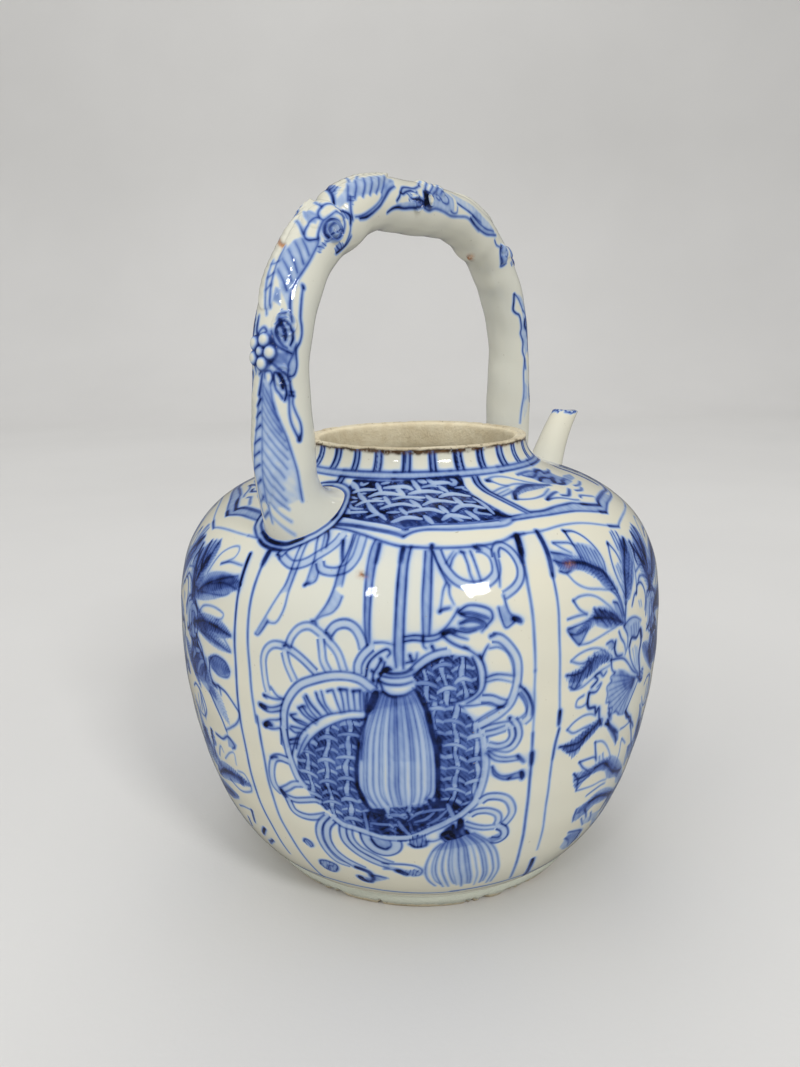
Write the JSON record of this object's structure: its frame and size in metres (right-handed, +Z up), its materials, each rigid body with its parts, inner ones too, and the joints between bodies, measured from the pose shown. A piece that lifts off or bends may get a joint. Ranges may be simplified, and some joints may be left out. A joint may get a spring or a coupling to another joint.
{
  "type": "overhead-handle porcelain teapot",
  "caption": "Round porcelain teapot with an arched branch handle over the mouth, a curved spout, and underglaze blue panels on a greenish white glaze.",
  "frame": {"origin": "centre of the foot ring, on the plane the teapot stands on", "axes": "+Z up, +X from the axis towards the spout, so the handle's arch lies in the XZ plane"},
  "size_m": [0.173, 0.136, 0.1864],
  "materials": {
    "glazed_body": "greenish white glossy glaze with underglaze blue panels",
    "glazed_neck": "greenish white glossy glaze outside with pairs of blue lines, bare inside",
    "glazed_spout": "plain greenish white glossy glaze, dark edge at the lip",
    "glazed_handle": "greenish white glossy glaze, blue on the outer side",
    "blue_sprigs": "raised leaves and blossoms painted blue under glossy glaze",
    "bare_rim": "unglazed beige biscuit with a brown edge",
    "bare_foot": "unglazed beige biscuit under a thin glaze"
  },
  "bodies": {
    "root": {"foot_ring": "bare_foot", "lower_bowl": "glazed_body", "shoulder": "glazed_body", "neck": "glazed_neck", "mouth_rim": "bare_rim", "spout": "glazed_spout", "front_spread_foot": "glazed_handle", "rear_spread_foot": "glazed_handle", "front_leg": "glazed_handle", "rear_leg": "glazed_handle", "arch": "glazed_handle", "front_knot": "glazed_handle", "rear_knot": "glazed_handle", "front_leg_leaf": "blue_sprigs", "rear_leg_leaf": "blue_sprigs", "front_bend_leaf": "blue_sprigs", "rear_bend_leaf": "blue_sprigs", "front_top_leaf": "blue_sprigs", "rear_top_leaf": "blue_sprigs", "front_blossom": "blue_sprigs", "bend_blossom": "blue_sprigs", "top_blossom": "blue_sprigs", "rear_bud": "blue_sprigs"}
  },
  "joints": []
}
